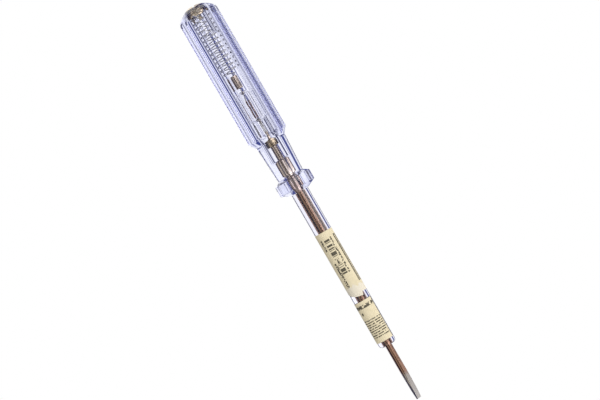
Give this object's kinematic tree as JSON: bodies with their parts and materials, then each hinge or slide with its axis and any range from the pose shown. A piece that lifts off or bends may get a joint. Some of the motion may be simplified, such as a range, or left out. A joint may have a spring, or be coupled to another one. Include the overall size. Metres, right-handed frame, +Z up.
{
  "type": "neon mains tester screwdriver",
  "caption": "Slim screwdriver with a clear fluted handle that holds a spring, neon lamp and resistor, a guard collar, and a clear sleeve over its flat blade.",
  "frame": {"origin": "centre of the blade tip's flat end face, on the tool's long axis", "axes": "+X runs along the tool from the handle out of the blade's tip, +Z is up with the tool lying down and its window on top, +Y is to the left when looking along +X"},
  "size_m": [0.19, 0.0178, 0.0175],
  "materials": {
    "clear_handle": "clear moulded plastic with a pale blue-violet tint, polished",
    "plug_brass": "turned brass with a cut thread",
    "spring_steel": "bright drawn spring wire",
    "cap_brass": "pale drawn brass",
    "lead_wire": "tinned wire",
    "lamp_glass": "clear blown glass",
    "electrode": "nickel rod with a reddish-brown coating",
    "end_cap_metal": "tinned cap",
    "resistor_ceramic": "unglazed white ceramic",
    "resistor_lacquer": "white lacquer",
    "ferrule_brass": "turned brass, slightly dulled",
    "plated_steel": "bright nickel-plated shaft with a ground satin tip",
    "clear_sleeve": "clear extruded tube",
    "label_paper": null
  },
  "bodies": {
    "handle": {"handle_shell": "clear_handle", "lamp_rear_cap": "cap_brass", "lamp_rear_lead": "lead_wire", "lamp_envelope": "lamp_glass", "lamp_rear_electrode": "electrode", "lamp_front_electrode": "electrode", "lamp_front_lead": "lead_wire", "resistor_rear_cap": "end_cap_metal", "resistor_core": "resistor_ceramic", "resistor_coat": "resistor_lacquer", "resistor_front_cap": "cap_brass", "blade_ferrule": "ferrule_brass", "blade": "plated_steel", "blade_sleeve": "clear_sleeve", "upper_label": "label_paper", "lower_label": "label_paper"},
    "spring": {"contact_spring": "spring_steel"},
    "plug": {"end_plug": "plug_brass"}
  },
  "joints": [
    {"name": "plug_travel", "type": "slide", "parent": "handle", "child": "spring", "axis": [-1, 0, 0], "range_m": [0, 0.004], "deforming": ["contact_spring"]},
    {"name": "plug_turn", "type": "hinge", "parent": "spring", "child": "plug", "pos_m": [-0.19, 0, 0], "axis": [-1, 0, 0], "range_deg": [0, 1440]}
  ],
  "couplings": [
    {"joint": "plug_turn", "follows": "plug_travel", "rad_per_m": 6283.2}
  ]
}
